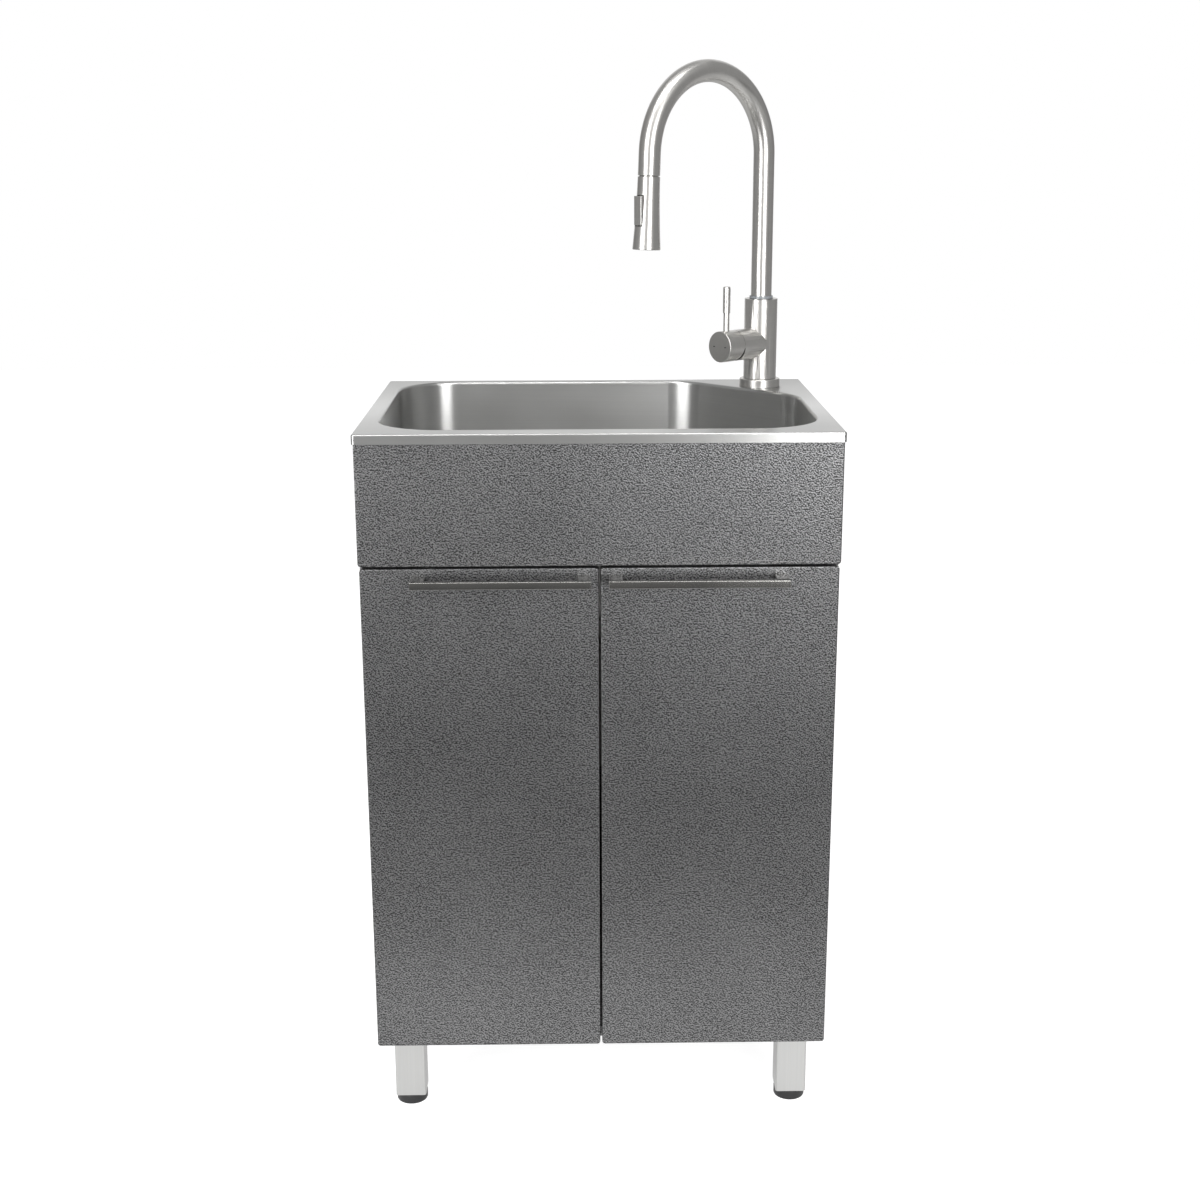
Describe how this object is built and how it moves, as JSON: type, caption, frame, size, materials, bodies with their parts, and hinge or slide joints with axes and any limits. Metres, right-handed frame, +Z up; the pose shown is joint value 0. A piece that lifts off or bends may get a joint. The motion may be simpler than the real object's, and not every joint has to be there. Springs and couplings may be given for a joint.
{
  "type": "utility laundry sink",
  "caption": "Pressed steel laundry sink on a two-door cabinet with square legs, gooseneck pull-down mixer tap, basket strainer and trap.",
  "frame": {"origin": "on the floor, under the middle of the whole outline (handles included)", "axes": "+Z up, +Y towards the wall behind, +X to the right of a person who faces the doors"},
  "size_m": [0.56, 0.4702, 1.2842],
  "materials": {
    "pewter_board": "hammered pewter grey coat on board",
    "brushed_steel": "brushed stainless steel",
    "sink_steel": "satin brushed stainless steel",
    "zinc_plate": "nickel or zinc plated",
    "black_plastic": "moulded, matt",
    "white_plastic": "moulded pipe, satin",
    "black_rubber": "matt",
    "grey_plastic": "moulded, matt"
  },
  "bodies": {
    "cabinet": {"left_side_panel": "pewter_board", "right_side_panel": "pewter_board", "bottom_panel": "pewter_board", "fascia_panel": "pewter_board", "front_rail": "pewter_board", "upper_back_rail": "pewter_board", "lower_back_panel": "pewter_board", "front_left_leg": "brushed_steel", "front_left_glide": "black_plastic", "front_right_leg": "brushed_steel", "front_right_glide": "black_plastic", "back_left_leg": "brushed_steel", "back_left_glide": "black_plastic", "back_right_leg": "brushed_steel", "back_right_glide": "black_plastic", "left_lower_hinge_arm": "zinc_plate", "left_upper_hinge_arm": "zinc_plate", "right_lower_hinge_arm": "zinc_plate", "right_upper_hinge_arm": "zinc_plate", "sink": "sink_steel", "strainer_body": "sink_steel", "strainer_gasket": "black_rubber", "strainer_locknut": "zinc_plate", "tailpiece": "white_plastic", "tailpiece_slip_nut": "white_plastic", "trap_inlet_slip_nut": "white_plastic", "trap_outlet_slip_nut": "white_plastic", "trap_bend": "white_plastic", "trap_arm": "white_plastic", "tap_body": "brushed_steel", "tap_flange": "brushed_steel", "tap_shank": "zinc_plate", "tap_washer": "black_rubber", "tap_mounting_nut": "zinc_plate", "mixer_cartridge": "grey_plastic"},
    "left_door": {"left_door": "pewter_board", "left_handle": "brushed_steel", "left_lower_hinge_cup": "zinc_plate", "left_lower_hinge_pin": "zinc_plate", "left_upper_hinge_cup": "zinc_plate", "left_upper_hinge_pin": "zinc_plate"},
    "right_door": {"right_door": "pewter_board", "right_handle": "brushed_steel", "right_lower_hinge_cup": "zinc_plate", "right_lower_hinge_pin": "zinc_plate", "right_upper_hinge_cup": "zinc_plate", "right_upper_hinge_pin": "zinc_plate"},
    "spout": {"spout": "brushed_steel", "spout_collar": "grey_plastic", "inner_hose": "grey_plastic"},
    "spray_head": {"spray_head": "brushed_steel", "spray_core": "black_plastic", "spray_face": "grey_plastic", "spray_hose": "grey_plastic"},
    "spray_button": {"spray_button": "brushed_steel"},
    "mixer_swivel": {"mixer_swivel": "black_plastic"},
    "lever": {"lever_cap": "brushed_steel", "lever_rod": "brushed_steel"},
    "strainer_basket": {"strainer_basket": "sink_steel", "basket_plug": "black_plastic"}
  },
  "joints": [
    {"name": "left_door_hinge", "type": "hinge", "parent": "cabinet", "child": "left_door", "pos_m": [-0.2682, -0.1946, 0.4025], "axis": [0, 0, -1], "range_deg": [0, 100]},
    {"name": "right_door_hinge", "type": "hinge", "parent": "cabinet", "child": "right_door", "pos_m": [0.2682, -0.1946, 0.4025], "axis": [0, 0, 1], "range_deg": [0, 100]},
    {"name": "spout_swivel", "type": "hinge", "parent": "cabinet", "child": "spout", "pos_m": [0.219, 0.169, 0.97], "axis": [0, 0, 1], "range_deg": [-180, 180]},
    {"name": "spray_head_pull", "type": "slide", "parent": "spout", "child": "spray_head", "axis": [-0.0333, -0.029, -0.999], "range_m": [0, 0.35], "deforming": ["spray_hose"]},
    {"name": "spray_button_rock", "type": "hinge", "parent": "spray_head", "child": "spray_button", "pos_m": [0.05468, 0.02566, 1.10478], "axis": [0.6574, -0.7536, 0], "range_deg": [-8, 0]},
    {"name": "mixer_turn", "type": "hinge", "parent": "cabinet", "child": "mixer_swivel", "pos_m": [0.18433, 0.13876, 0.9277], "axis": [-0.7536, -0.6574, 0], "range_deg": [-45, 45]},
    {"name": "lever_tilt", "type": "hinge", "parent": "mixer_swivel", "child": "lever", "pos_m": [0.18433, 0.13876, 0.9277], "axis": [0.6574, -0.7536, 0], "range_deg": [0, 15]},
    {"name": "basket_lift", "type": "slide", "parent": "cabinet", "child": "strainer_basket", "axis": [0, 0, 1], "range_m": [0, 0.06]}
  ]
}
